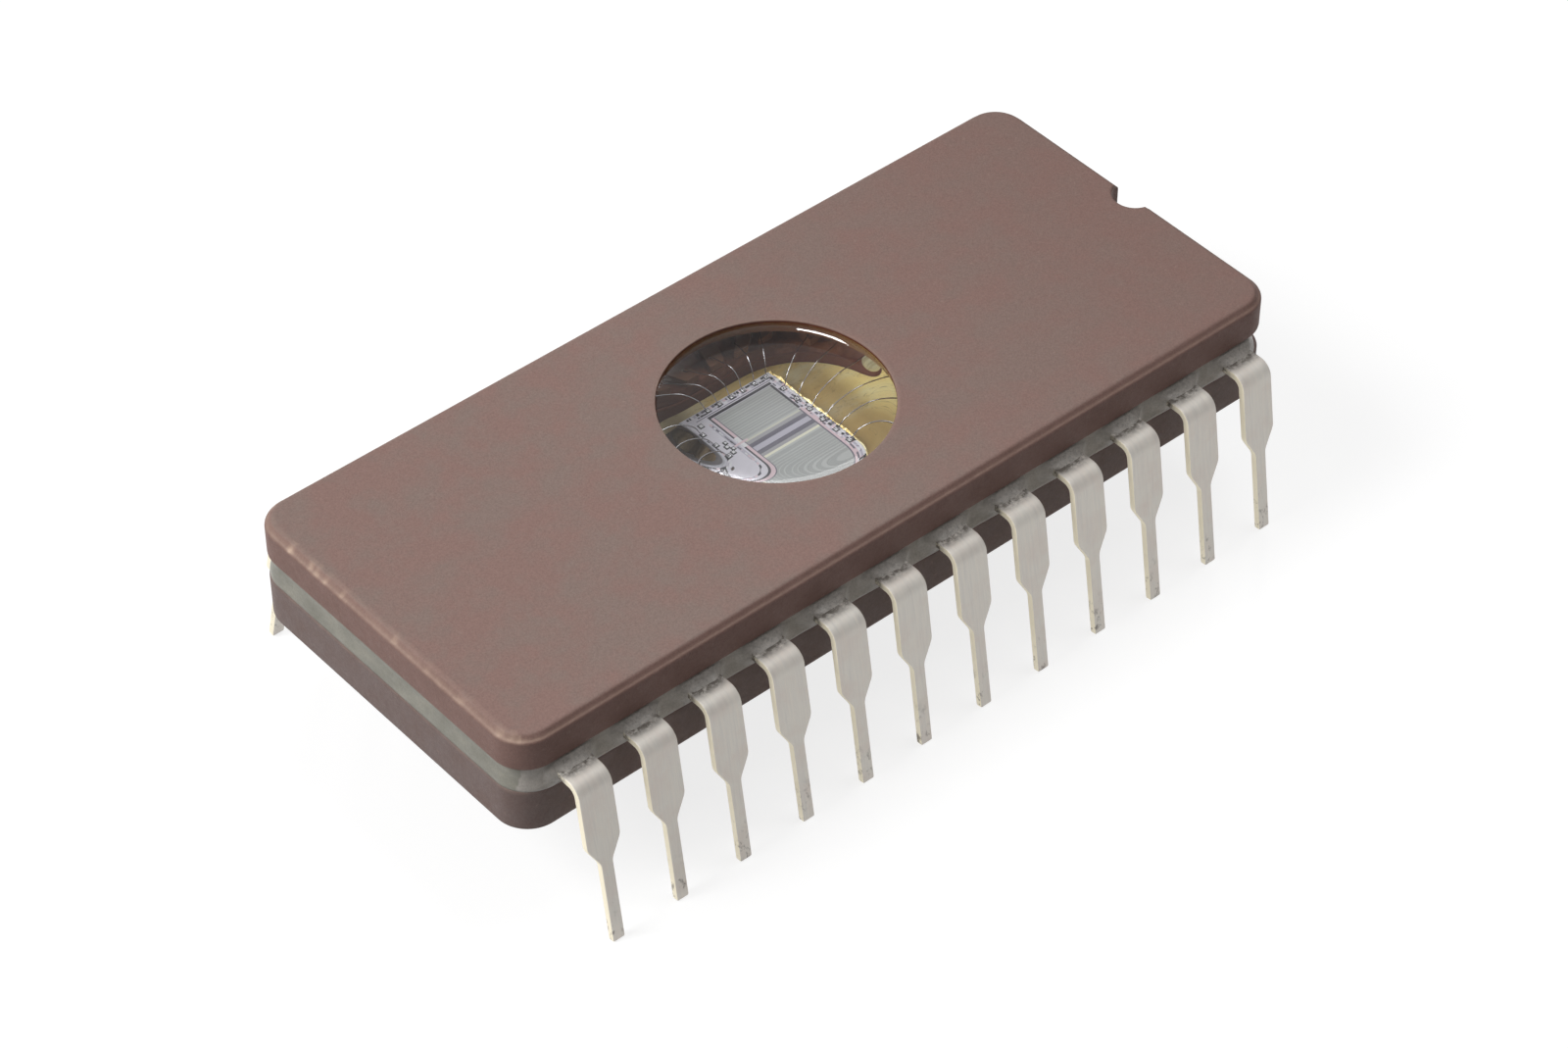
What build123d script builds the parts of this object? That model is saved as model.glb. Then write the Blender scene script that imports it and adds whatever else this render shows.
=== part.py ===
from build123d import *
import math
import os

# A windowed ceramic dual in-line package with 24 leads, sizes in millimetres.
# The origin is at the middle of the footprint, level with the lead tips.
# +X runs along the body towards the notch, +Z is up through the window.

# Ceramic body, seen from above, with its length past the middle of each end lead
body_end_margin = 1.93
body_width = 13.5
body_corner_radius = 1.2

# Heights, from the lead tips up
underside_height = 3.97
base_thickness = 1.75
lower_glass_thickness = 0.38
lead_thickness = 0.25
upper_glass_thickness = 0.23
lid_thickness = 1.4

# Pressed edges of the ceramic
base_edge_chamfer = 0.12
lid_lower_edge_radius = 0.12
lid_land_width = 0.09
lid_crown_inset = 0.1
lid_crown_height = 0.19
notch_radius = 0.76

# Die cavity in the base, and the recess over it under the lid
cavity_length = 9.3
cavity_width = 6.8
cavity_end_flat = 0.2
cavity_depth = 0.4
lid_recess_margin = 1.0
lid_recess_depth = 0.4

# Window lens, fused flush into the lid
window_diameter = 7.75
lens_rim_chamfer = 0.08

# Glass seal
seal_recess = 0.2
seal_cavity_margin = 0.12
collar_root_depth = 0.45
collar_reach = 0.33
collar_root_flare = 0.5
collar_tip_cover = 0.08

# Gold film and die
gold_thickness = 0.05
gold_wall_clearance = 0.05
die_length = 3.75
die_width = 5.15
die_thickness = 0.5

# Leads outside the body
leads_per_row = 12
lead_pitch = 2.54
lead_width = 1.28
lead_reach = 1.05
lead_bend_radius = 0.42
lead_splay_degrees = 9.2
pin_width = 0.45
pin_length = 3.13
shank_taper_length = 0.75

# Lead fingers inside the seal
finger_root_depth = 0.6
finger_knee_depth = 1.25
finger_knee_width = 0.85
finger_tip_width = 0.6
finger_setback = 0.15
side_fingers_per_row = 6
side_finger_pitch = 1.05
end_finger_degrees = 20
end_finger_run = 1.5
end_finger_step = 2.0

# Bond wires
wire_thickness = 0.035
pad_inset = 0.16
side_pad_shift = 0.4
side_pad_pitch = 0.5
end_pad_pitch = 0.65
bond_inset = 0.35
wire_rise = 0.2
wire_stub = 0.1
wire_crown_radius = 0.35

# Levels and places that follow from the sizes above
base_top = underside_height + base_thickness
lead_bottom = base_top + lower_glass_thickness
lead_top = lead_bottom + lead_thickness
lead_middle = (lead_bottom + lead_top) / 2
lid_bottom = lead_top + upper_glass_thickness
lid_top = lid_bottom + lid_thickness
cavity_floor = base_top - cavity_depth
die_top = cavity_floor + gold_thickness + die_thickness
body_side = body_width / 2
body_length = (leads_per_row - 1) * lead_pitch + 2 * body_end_margin
cavity_corner_radius = (cavity_width - cavity_end_flat) / 2
end_fingers_per_corner = (leads_per_row - side_fingers_per_row) // 2


def rounded_prism(length, width, radius, bottom, height):
    """An upright prism with rounded corners, centred on the origin."""
    return Pos(0, 0, bottom) * extrude(RectangleRounded(length, width, radius), height)


def body_prism(inset, bottom, height):
    """A prism with the outline of the ceramic body, drawn in by an inset."""
    return rounded_prism(
        body_length - 2 * inset, body_width - 2 * inset, body_corner_radius - inset, bottom, height
    )


def cavity_prism(margin, bottom, height):
    """A prism with the outline of the die cavity, grown by a margin."""
    return rounded_prism(
        cavity_length + 2 * margin, cavity_width + 2 * margin, cavity_corner_radius + margin, bottom, height
    )


def make_base():
    """Lower ceramic plate with the die cavity in its top face."""
    plate = body_prism(0, underside_height, base_thickness)
    rims = plate.edges().group_by(Axis.Z)
    plate = chamfer(rims[0] + rims[-1], base_edge_chamfer)
    return plate - cavity_prism(0, cavity_floor, base_thickness)


def make_lid():
    """Upper ceramic plate with its raised top, window bore, recess and end notch."""
    plate_height = lid_thickness - lid_crown_height
    plate = body_prism(0, lid_bottom, plate_height)
    plate = fillet(plate.edges().group_by(Axis.Z)[0], lid_lower_edge_radius)
    crown_outlines = []
    for inset, level in ((lid_land_width, lid_bottom + plate_height), (lid_land_width + lid_crown_inset, lid_top)):
        outline = RectangleRounded(body_length - 2 * inset, body_width - 2 * inset, body_corner_radius - inset)
        crown_outlines.append(Pos(0, 0, level) * outline)
    lid = plate + loft(crown_outlines, ruled=True)
    bore = Pos(0, 0, lid_bottom) * extrude(Circle(window_diameter / 2), lid_thickness)
    notch = Pos(body_length / 2, 0, lid_bottom) * extrude(Circle(notch_radius), lid_thickness)
    return lid - cavity_prism(lid_recess_margin, lid_bottom, lid_recess_depth) - bore - notch


def make_lens():
    """Round glass lens, flush with the lid, with a bevelled top rim."""
    lens_bottom = lid_bottom + lid_recess_depth
    disc = Pos(0, 0, lens_bottom) * extrude(Circle(window_diameter / 2), lid_top - lens_bottom)
    return chamfer(disc.edges().group_by(Axis.Z)[-1], lens_rim_chamfer)


def lead_place(number):
    """Distance of a lead of the +Y row from the middle of the row, number 0 at the notch end."""
    return ((leads_per_row - 1) / 2 - number) * lead_pitch


def is_side_finger(number):
    """Whether a lead's finger ends at the long side of the cavity."""
    return end_fingers_per_corner <= number < leads_per_row - end_fingers_per_corner


def side_tip(number):
    """Tip of a finger at the long side of the cavity."""
    place = ((leads_per_row - 1) / 2 - number) * side_finger_pitch
    return place, cavity_width / 2 + finger_setback


def end_rank(number):
    """Rank of a finger at the cavity's end: 0 is next to the side fingers."""
    from_row_end = min(number, leads_per_row - 1 - number)
    return end_fingers_per_corner - 1 - from_row_end


def end_tip(number):
    """Tip of a finger at the rounded end of the cavity, where the fingers fan out."""
    towards = math.copysign(1, lead_place(number))
    turn = math.radians((end_fingers_per_corner - 0.5 - end_rank(number)) * end_finger_degrees)
    fan_radius = cavity_corner_radius + finger_setback
    reach = cavity_length / 2 - cavity_corner_radius + fan_radius * math.cos(turn)
    return towards * reach, cavity_end_flat / 2 + fan_radius * math.sin(turn)


def finger_outline(number):
    """Flat outline of the part of a lead that lies in the seal."""
    place = lead_place(number)
    half_root = lead_width / 2
    half_knee = finger_knee_width / 2
    half_tip = finger_tip_width / 2
    root = body_side - finger_root_depth
    knee = body_side - finger_knee_depth
    inner_side = [(place - half_root, root), (place - half_knee, knee)]
    outer_side = [(place + half_root, root), (place + half_knee, knee)]
    if is_side_finger(number):
        tip, level = side_tip(number)
        inner_side.append((tip - half_tip, level))
        outer_side.append((tip + half_tip, level))
        return inner_side + outer_side[::-1]
    tip, level = end_tip(number)
    towards = math.copysign(1, place)
    elbow = tip + towards * (end_finger_run + end_rank(number) * end_finger_step)
    near_side, far_side = (inner_side, outer_side) if towards > 0 else (outer_side, inner_side)
    near_side += [(elbow, level + half_tip), (tip, level + half_tip)]
    far_side += [(elbow, level - half_tip), (tip, level - half_tip)]
    return near_side + far_side[::-1]


def make_formed_lead(place):
    """Strip that leaves the seal, turns down, splays outward and narrows to a pin."""
    splay = math.tan(math.radians(lead_splay_degrees))
    start = body_side - finger_root_depth
    corner = body_side + lead_reach
    below_tip = lead_thickness
    foot = corner + (lead_middle + below_tip) * splay
    route = FilletPolyline(
        (place, start, lead_middle),
        (place, corner, lead_middle),
        (place, foot, -below_tip),
        radius=lead_bend_radius,
    )
    across = Plane((place, start, lead_middle), x_dir=(1, 0, 0), z_dir=(0, 1, 0))
    strip = sweep(across * Rectangle(lead_width, lead_thickness), path=route)
    shank_bottom = pin_length + shank_taper_length
    half_shank = lead_width / 2
    half_pin = pin_width / 2
    front = Polyline(
        (place - half_shank, lead_top),
        (place - half_shank, shank_bottom),
        (place - half_pin, pin_length),
        (place - half_pin, 0),
        (place + half_pin, 0),
        (place + half_pin, pin_length),
        (place + half_shank, shank_bottom),
        (place + half_shank, lead_top),
        close=True,
    )
    front_face = Plane((0, start, 0), x_dir=(1, 0, 0), z_dir=(0, -1, 0)) * make_face(front)
    return strip & extrude(front_face, -2 * foot)


def make_lead(number):
    """One lead of the +Y row: finger in the seal, bend, shank and pin."""
    outline = make_face(Polyline(*finger_outline(number), close=True))
    finger = Pos(0, 0, lead_bottom) * extrude(outline, lead_thickness)
    return finger + make_formed_lead(lead_place(number))


def make_collar(place):
    """Glass drawn out along the root of one lead of the +Y row."""
    root = body_side - collar_root_depth
    tip = body_side + collar_reach
    seal_height = lid_bottom - base_top
    root_plane = Plane((place, root, base_top + seal_height / 2), x_dir=(1, 0, 0), z_dir=(0, 1, 0))
    tip_plane = Plane((place, tip, lead_middle), x_dir=(1, 0, 0), z_dir=(0, 1, 0))
    root_face = root_plane * Rectangle(lead_width + 2 * collar_root_flare, seal_height)
    tip_face = tip_plane * Rectangle(lead_width + 2 * collar_tip_cover, lead_thickness + 2 * collar_tip_cover)
    return loft([root_face, tip_face], ruled=True)


def make_seal(leads):
    """Glass between the two ceramic plates, open over the cavity, with a bed for each lead."""
    under_leads = body_prism(seal_recess, base_top, lower_glass_thickness)
    under_leads -= cavity_prism(seal_cavity_margin, base_top, lower_glass_thickness)
    over_leads = body_prism(seal_recess, lead_bottom, lid_bottom - lead_bottom)
    over_leads -= cavity_prism(lid_recess_margin, lead_bottom, lid_bottom - lead_bottom)
    collars = []
    for number in range(leads_per_row):
        collar = make_collar(lead_place(number))
        collars += [collar, Rot(0, 0, 180) * collar]
    return under_leads + over_leads + collars - leads


def make_gold():
    """Gold film on the floor of the cavity."""
    return cavity_prism(-gold_wall_clearance, cavity_floor, gold_thickness)


def make_die():
    """Silicon die on the gold film."""
    return Pos(0, 0, cavity_floor + gold_thickness) * extrude(Rectangle(die_length, die_width), die_thickness)


def wire_ends(number):
    """Bond pad on the die and landing place on the finger, for one lead of the +Y row."""
    if is_side_finger(number):
        tip, level = side_tip(number)
        pad_place = side_pad_shift + ((leads_per_row - 1) / 2 - number) * side_pad_pitch
        return (pad_place, die_width / 2 - pad_inset), (tip, level + bond_inset)
    tip, level = end_tip(number)
    towards = math.copysign(1, tip)
    pad_level = (end_fingers_per_corner - 0.5 - end_rank(number)) * end_pad_pitch
    return (towards * (die_length / 2 - pad_inset), pad_level), (tip + towards * bond_inset, level)


def make_wire(number):
    """Fine wire, square in section, that loops from the die up to its finger."""
    pad, landing = wire_ends(number)
    crown = lead_top + wire_rise

    def along(share, level):
        return (pad[0] + (landing[0] - pad[0]) * share, pad[1] + (landing[1] - pad[1]) * share, level)

    pad_stub_top = along(0, die_top + wire_stub)
    finger_stub_top = along(1, lead_top + wire_stub)
    loop = FilletPolyline(pad_stub_top, along(0.4, crown), finger_stub_top, radius=wire_crown_radius)
    route = Line(along(0, die_top), pad_stub_top) + loop + Line(finger_stub_top, along(1, lead_top))
    heading = (landing[0] - pad[0], landing[1] - pad[1], 0)
    start = Plane(along(0, die_top), x_dir=heading, z_dir=(0, 0, 1))
    section = start * Rectangle(wire_thickness, wire_thickness)
    return sweep(section, path=route, transition=Transition.RIGHT)


def both_rows(name, make_one):
    """The pieces of both rows, numbered round the body from the notch's +Y side."""
    pieces = {}
    for number in range(leads_per_row):
        piece = make_one(number)
        pieces[f"{name}_{number + 1:02d}"] = piece
        pieces[f"{name}_{number + 1 + leads_per_row:02d}"] = Rot(0, 0, 180) * piece
    return pieces


leads = both_rows("lead", make_lead)
nodes = {
    "ceramic_base": make_base(),
    "ceramic_lid": make_lid(),
    "window_lens": make_lens(),
    "seal_glass": make_seal(list(leads.values())),
    "gold_pad": make_gold(),
    "silicon_die": make_die(),
}
nodes.update(leads)
nodes.update(both_rows("bond_wire", make_wire))

os.makedirs("parts", exist_ok=True)
for name, solid in nodes.items():
    export_step(solid, f"parts/{name}.step")
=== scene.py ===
import random
from math import acos, copysign, cos, degrees, dist, pi, radians, sin, tan

import bmesh
import bpy
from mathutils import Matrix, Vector, noise
from mathutils.geometry import tessellate_polygon


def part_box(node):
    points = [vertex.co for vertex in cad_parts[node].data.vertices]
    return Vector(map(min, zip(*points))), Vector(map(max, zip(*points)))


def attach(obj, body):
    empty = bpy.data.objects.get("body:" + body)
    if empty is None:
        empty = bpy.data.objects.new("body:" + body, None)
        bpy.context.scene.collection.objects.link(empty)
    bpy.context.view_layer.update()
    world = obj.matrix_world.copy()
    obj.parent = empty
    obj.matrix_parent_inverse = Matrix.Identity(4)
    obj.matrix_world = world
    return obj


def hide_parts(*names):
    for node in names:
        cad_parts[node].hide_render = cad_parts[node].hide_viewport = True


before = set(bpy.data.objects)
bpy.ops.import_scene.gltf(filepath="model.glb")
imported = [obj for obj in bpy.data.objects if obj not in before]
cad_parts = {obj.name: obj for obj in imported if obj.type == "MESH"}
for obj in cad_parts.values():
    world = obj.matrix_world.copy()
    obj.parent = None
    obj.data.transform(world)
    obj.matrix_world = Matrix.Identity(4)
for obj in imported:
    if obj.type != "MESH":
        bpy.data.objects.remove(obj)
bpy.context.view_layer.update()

# Sizes below are in millimetres in the model's frame, and go to metres when a mesh is made
MM = 0.001


def box_mm(node):
    """Lowest and highest corner of a node, in millimetres."""
    low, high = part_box(node)
    return low / MM, high / MM


# Levels and reaches read from the frame
base_low, base_high = box_mm("ceramic_base")
lid_low, lid_high = box_mm("ceramic_lid")
lens_low, lens_high = box_mm("window_lens")
gold_low, gold_high = box_mm("gold_pad")
die_low, die_high = box_mm("silicon_die")
half_length, half_width = base_high.x, base_high.y
underside, base_top = base_low.z, base_high.z
lid_bottom, lid_top = lid_low.z, lid_high.z
lens_bottom, window_radius = lens_low.z, lens_high.x
cavity_floor, gold_top, die_top = gold_low.z, gold_high.z, die_high.z

# Ceramic edges. The outline is straight as far as the base's corners
base_points = [vertex.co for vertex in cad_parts["ceramic_base"].data.vertices]
straight_end = max(point.y for point in base_points if point.x / MM > half_length - 0.001)
corner_radius = half_width - straight_end / MM
crown_height = 0.19
low_edge_radius = 0.12
notch_radius = 0.76

# Cavity in the base and the recess over it in the lid
cavity_half_x = gold_high.x + 0.05
cavity_half_y = gold_high.y + 0.05
cavity_end_flat = 0.2
recess_margin, recess_ceiling = 1.0, lens_bottom
shelf_margin = 0.12

# Leads
leads_per_row = 12
lead_pitch = 2.54
lead_top = box_mm("lead_01")[1].z
lead_bottom = lead_top - 0.25
lead_middle = (lead_bottom + lead_top) / 2
half_thickness = (lead_top - lead_bottom) / 2
half_shank, half_pin = 0.64, 0.225
shank_end, pin_start = 3.88, 3.13
bend_corner = 7.8
bend_radius = 0.42
splay = 9.2
lead_root = 6.15
seal_reach = 7.08
finger_knee = 5.5
half_knee, half_tip = 0.425, 0.3
finger_setback = 0.15
side_fingers = 6
side_finger_pitch = 1.05
end_finger_degrees = 20
end_finger_run = 1.5
end_finger_step = 2.0

# The far row's last lead stands nearer the body at its bend, with its tip in line
tucked_in, tucked_splay, tucked_lean = 0.37, 3.4, -0.1

# Marks that the materials read from a mesh. Those from 0 to 1 tell of wear and painted highlight on the
# ceramic rims, of the seal's long sides, painted paler as light, and its grit by the leads, or of glass on
# metal. The cavity, bore and finger marks also place painted shade.
cavity_mark, bore_mark, finger_mark = -1.0, -2.0, 2.0

# Corners of a rectangle, anticlockwise: its side along each axis and where its bend starts
corner_turns = ((1, 1, 0), (-1, 1, 90), (-1, -1, 180), (1, -1, 270))

random.seed(24)


def colour(value):
    """Linear colour of a grey, or of three screen values from 0 to 255. Others are passed on."""
    if isinstance(value, float):
        return (value, value, value, 1.0)
    if not isinstance(value, tuple) or len(value) == 4:
        return value
    shares = [screen / 255 for screen in value]
    linear = [share / 12.92 if share <= 0.04045 else ((share + 0.055) / 1.055) ** 2.4 for share in shares]
    return (*linear, 1.0)


def smoothstep(low, high, value):
    """0 below low, 1 above high, with a smooth rise between."""
    share = min(max((value - low) / (high - low), 0.0), 1.0)
    return share * share * (3 - 2 * share)


def ripple(x, y, z, per_mm, seed):
    """Smooth noise from -1 to 1 at a point."""
    return noise.noise(Vector((x * per_mm + seed, y * per_mm - seed, z * per_mm + 2 * seed)))


# Meshes

class Shell:
    """Points and faces of one closed mesh, in millimetres."""

    def __init__(self):
        self.points, self.faces, self.marks, self.tones = [], [], [], []

    def ring(self, points, mark=0.0):
        """Adds a row of points with their marks, and gives their numbers."""
        start = len(self.points)
        self.points += [tuple(point) for point in points]
        self.marks += mark if isinstance(mark, list) else [mark] * len(points)
        return list(range(start, len(self.points)))

    def bridge(self, one, two):
        """Quads between two closed rows of the same length."""
        for place in range(len(one)):
            after = (place + 1) % len(one)
            self.faces.append((one[place], one[after], two[after], two[place]))

    def skin(self, rings):
        """Quads along a list of rings."""
        for one, two in zip(rings, rings[1:]):
            self.bridge(one, two)

    def solid(self, rings):
        """The shell with quads along a list of rings, and a flat face over each end."""
        self.skin(rings)
        self.fill(rings[0])
        self.fill(rings[-1])
        return self

    def fill(self, outer, *holes):
        """Flat face inside an outer ring, round any holes."""
        rings = (outer, *holes)
        loops = [[Vector(self.points[number]) for number in ring] for ring in rings]
        numbers = [number for ring in rings for number in ring]
        self.faces += [tuple(numbers[corner] for corner in face) for face in tessellate_polygon(loops)]

    def mesh(self, name, sharp_degrees):
        """The Blender mesh in metres, smooth except at edges sharper than an angle."""
        result = bpy.data.meshes.new(name)
        result.from_pydata([Vector(point) * MM for point in self.points], [], self.faces)
        result.attributes.new("mark", "FLOAT", "POINT").data.foreach_set("value", self.marks)
        if self.tones:
            paint = result.color_attributes.new("tone", "FLOAT_COLOR", "CORNER")
            for polygon, tone in zip(result.polygons, self.tones):
                for corner in polygon.loop_indices:
                    paint.data[corner].color = tone
        work = bmesh.new()
        work.from_mesh(result)
        bmesh.ops.recalc_face_normals(work, faces=work.faces)
        limit = radians(sharp_degrees)
        for edge in work.edges:
            edge.smooth = edge.calc_face_angle(0.0) < limit
        for face in work.faces:
            face.smooth = True
        work.to_mesh(result)
        work.free()
        return result


def put(name, data):
    """A new object in the scene."""
    thing = bpy.data.objects.new(name, data)
    bpy.context.scene.collection.objects.link(thing)
    return thing


def add_piece(shell, name, look, nodes=(), sharp_degrees=38):
    """Puts a shell in the scene as a piece of the part."""
    piece = put(name, shell.mesh(name, sharp_degrees))
    piece.data.materials.append(look.material)
    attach(piece, "root")
    if nodes:
        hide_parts(*nodes)


def arc(centre, radius, start, end, steps):
    """Points on an arc, from one angle in degrees to another."""
    turns = [radians(start + (end - start) * step / steps) for step in range(steps + 1)]
    return [(centre[0] + radius * cos(turn), centre[1] + radius * sin(turn)) for turn in turns]


def straight(one, two, spacing):
    """Points from one place up to, but without, another."""
    steps = max(1, round(dist(one, two) / spacing))
    return [tuple(a + (b - a) * step / steps for a, b in zip(one, two)) for step in range(steps)]


def rounded_box(half_x, half_y, radius, spacing, corner_steps):
    """Points and outward normals round a rounded rectangle, anticlockwise."""
    points, normals, bends = [], [], []
    for side_x, side_y, start in corner_turns:
        centre = (side_x * (half_x - radius), side_y * (half_y - radius))
        bends.append((centre, start, arc(centre, radius, start, start + 90, corner_steps)))
    for (centre, _, bend), (_, next_start, next_bend) in zip(bends, bends[1:] + bends[:1]):
        points += bend
        normals += [((x - centre[0]) / radius, (y - centre[1]) / radius) for x, y in bend]
        side = straight(bend[-1], next_bend[0], spacing)[1:]
        turn = radians(next_start)
        points += side
        normals += [(cos(turn), sin(turn))] * len(side)
    return points, normals


def drawn_in(points, normals, inset, level):
    """The outline moved in by an inset, at a level."""
    return [(x - nx * inset, y - ny * inset, level) for (x, y), (nx, ny) in zip(points, normals)]


def circle(radius, level, steps=160):
    """Points round a circle at a level."""
    return [(x, y, level) for x, y in arc((0, 0), radius, 0, 360 - 360 / steps, steps - 1)]


def cavity_rings(shell, profile):
    """Rows of a shell on the cavity's outline, each grown by a margin at a level."""
    rings = []
    for margin, level in profile:
        half_x, half_y = cavity_half_x + margin, cavity_half_y + margin
        radius = half_y - cavity_end_flat / 2
        points, _ = rounded_box(half_x, half_y, radius, spacing=0.4, corner_steps=24)
        rings.append(shell.ring([(x, y, level) for x, y in points], cavity_mark))
    return rings


def lid_ring(inset, level, notch_growth):
    """The lid's outline with the notch, drawn in by an inset."""
    notch = notch_radius + notch_growth
    notch_end_steps, side_steps, plain_end_steps, corner_steps, notch_steps = 14, 90, 150, 20, 24
    reach_x, reach_y, radius = half_length - inset, half_width - inset, corner_radius - inset
    flat_x, flat_y = reach_x - radius, reach_y - radius
    lip_turn = degrees(acos(-inset / notch))
    lip = notch * sin(radians(lip_turn))
    points = []
    sides = (
        ((reach_x, lip), (reach_x, flat_y), (flat_x, flat_y), 0, notch_end_steps),
        ((flat_x, reach_y), (-flat_x, reach_y), (-flat_x, flat_y), 90, side_steps),
        ((-reach_x, flat_y), (-reach_x, -flat_y), (-flat_x, -flat_y), 180, plain_end_steps),
        ((-flat_x, -reach_y), (flat_x, -reach_y), (flat_x, -flat_y), 270, side_steps),
    )
    for start, end, centre, turn, steps in sides:
        points += straight(start, end, dist(start, end) / steps)
        points += arc(centre, radius, turn, turn + 90, corner_steps)
    points.pop()
    points += straight((reach_x, -flat_y), (reach_x, -lip), (flat_y - lip) / notch_end_steps)
    points += arc((half_length, 0), notch, -lip_turn, lip_turn - 360, notch_steps)[:-1]
    return [(x, y, level) for x, y in points]


# Chips on the lid's rim at the plain end: place along Y and size
rim_chips = ((4.67, 0.25), (3.64, 0.2), (3.34, 0.18), (2.88, 0.18), (1.94, 0.28), (-0.6, 0.2), (-6.05, 0.75))


def rim_wear_and_highlight(x, y):
    """How far the lid's rim is rubbed and chipped at a place, from 0 to 1. Part of it is a painted highlight:
    the even share all along the rim and the rise towards the plain end.
    """
    rub = smoothstep(-half_length + 5, -half_length, x)
    chip = max(1 - abs(y - place) / size for place, size in rim_chips) if x < -half_length + 1 else 0
    ragged = 0.5 + 0.9 * ripple(x, y, 0, 5.0, 2.0)
    knock = max(0.0, ripple(x, y, 0, 1.6, 5.0) - 0.25) * (0.2 + rub)
    return 0.2 + 0.12 * rub + 0.8 * smoothstep(0.0, 0.9, chip) * ragged + 0.7 * knock


def lid_profile():
    """Inset, level, share of wear and painted highlight, and growth of the notch, from the lid's lower face
    to its flat top.
    """
    land = lid_top - crown_height
    profile = [(low_edge_radius + 0.05, lid_bottom, 0, 0.05), (low_edge_radius, lid_bottom, 0, 0)]
    for angle in (22.5, 45, 67.5, 90):
        turn = radians(angle)
        level = lid_bottom + low_edge_radius * (1 - cos(turn))
        profile.append((low_edge_radius * (1 - sin(turn)), level, 0.1, 0))
    return profile + [
        (0, lid_bottom + low_edge_radius + 0.05, 0, 0), (0, land - 0.11, 0, 0),
        (0.006, land - 0.065, 0.2, 0), (0.024, land - 0.028, 0.5, 0), (0.05, land - 0.002, 0.9, 0),
        (0.08, land + 0.018, 1.0, 0), (0.105, land + 0.04, 0.9, 0), (0.13, land + 0.068, 0.7, 0),
        (0.16, land + 0.105, 0.5, 0), (0.192, land + 0.142, 0.4, 0.005), (0.228, land + 0.17, 0.3, 0.02),
        (0.27, lid_top - 0.005, 0.2, 0.05), (0.32, lid_top, 0.3, 0.09), (0.4, lid_top, 0, 0.16),
    ]


def make_lid():
    """Upper ceramic plate: moulded rim, raised top, window bore, recess and notch."""
    shell, rings = Shell(), []
    plain_end = 0.5 - half_length
    grain_depth, chip_depth, chip_start = 0.006, 0.035, 0.35
    for inset, level, share, notch_growth in lid_profile():
        points, marks = [], []
        for x, y, z in lid_ring(inset, level, notch_growth):
            # Share of wear and painted highlight, spread wider over the rounding at the plain end
            wear_and_highlight = share ** (1 if x < plain_end else 3) * rim_wear_and_highlight(x, y)
            grain = ripple(x, y, z, 3.0, 9.0) * grain_depth * share
            points.append((x, y, z - chip_depth * max(0.0, wear_and_highlight - chip_start) + min(grain, 0)))
            marks.append(wear_and_highlight)
        rings.append(shell.ring(points, marks))
    shell.skin(rings)
    # How much wider than the window, level and mark, from the top face down
    bore_profile = (
        (0.14, lid_top, 0), (0.05, lid_top, 0.05), (0.014, lid_top - 0.012, 0.2),
        (0, lid_top - 0.045, 0), (0, lid_top - 0.07, bore_mark),
        (0, recess_ceiling + 0.03, bore_mark), (0, recess_ceiling, bore_mark),
    )
    bore = [shell.ring(circle(window_radius + wider, level), mark) for wider, level, mark in bore_profile]
    shell.skin(bore)
    ceiling, recess_edge = cavity_rings(shell, ((recess_margin, recess_ceiling), (recess_margin, lid_bottom)))
    shell.bridge(ceiling, recess_edge)
    shell.fill(rings[-1], bore[0])
    shell.fill(ceiling, bore[-1])
    shell.fill(rings[0], recess_edge)
    return shell


def make_base():
    """Lower ceramic plate with the die cavity."""
    shell, rings = Shell(), []
    points, normals = rounded_box(half_length, half_width, corner_radius, spacing=0.25, corner_steps=18)
    # Inset, level and share of wear and painted highlight, from the underside to the top face
    edge = 0.12
    profile = (
        (edge + 0.06, underside, 0), (edge, underside, 0.1),
        (edge * 0.6, underside + 0.02, 0.3), (0.02, underside + edge * 0.6, 0.2),
        (0, underside + edge + 0.02, 0), (0, underside + edge + 0.1, 0),
        (0, base_top - edge - 0.1, 0), (0, base_top - edge + 0.01, 0.2),
        (0.02, base_top - edge * 0.5, 0.5), (edge * 0.6, base_top - 0.015, 0.5),
        (edge, base_top, 0.2), (edge + 0.06, base_top, 0),
    )
    for inset, level, share in profile:
        marks = [share * rim_wear_and_highlight(x, y) for x, y in points]
        rings.append(shell.ring(drawn_in(points, normals, inset, level), marks))
    shell.skin(rings)
    shell.fill(rings[0])
    cavity = cavity_rings(shell, (
        (0.08, base_top), (0.03, base_top), (0, base_top - 0.03),
        (0, cavity_floor + 0.05), (-0.02, cavity_floor),
    ))
    shell.skin(cavity)
    shell.fill(cavity[-1])
    shell.fill(rings[-1], cavity[0])
    return shell


def lead_place(number):
    """Place along X of a lead in the far row, number 0 at the notch end."""
    return ((leads_per_row - 1) / 2 - number) * lead_pitch


def glass_share(from_lead):
    """How far the glass climbs at a distance from a lead's middle line: 1 on it, 0 in the gap."""
    return 1 - smoothstep(half_shank - 0.32, half_shank + 0.52, from_lead)


def near_lead(x):
    """1 on a lead's middle line, falling to 0 in the gap between two."""
    return glass_share(min(abs(abs(x) - abs(lead_place(number))) for number in range(leads_per_row // 2)))


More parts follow.
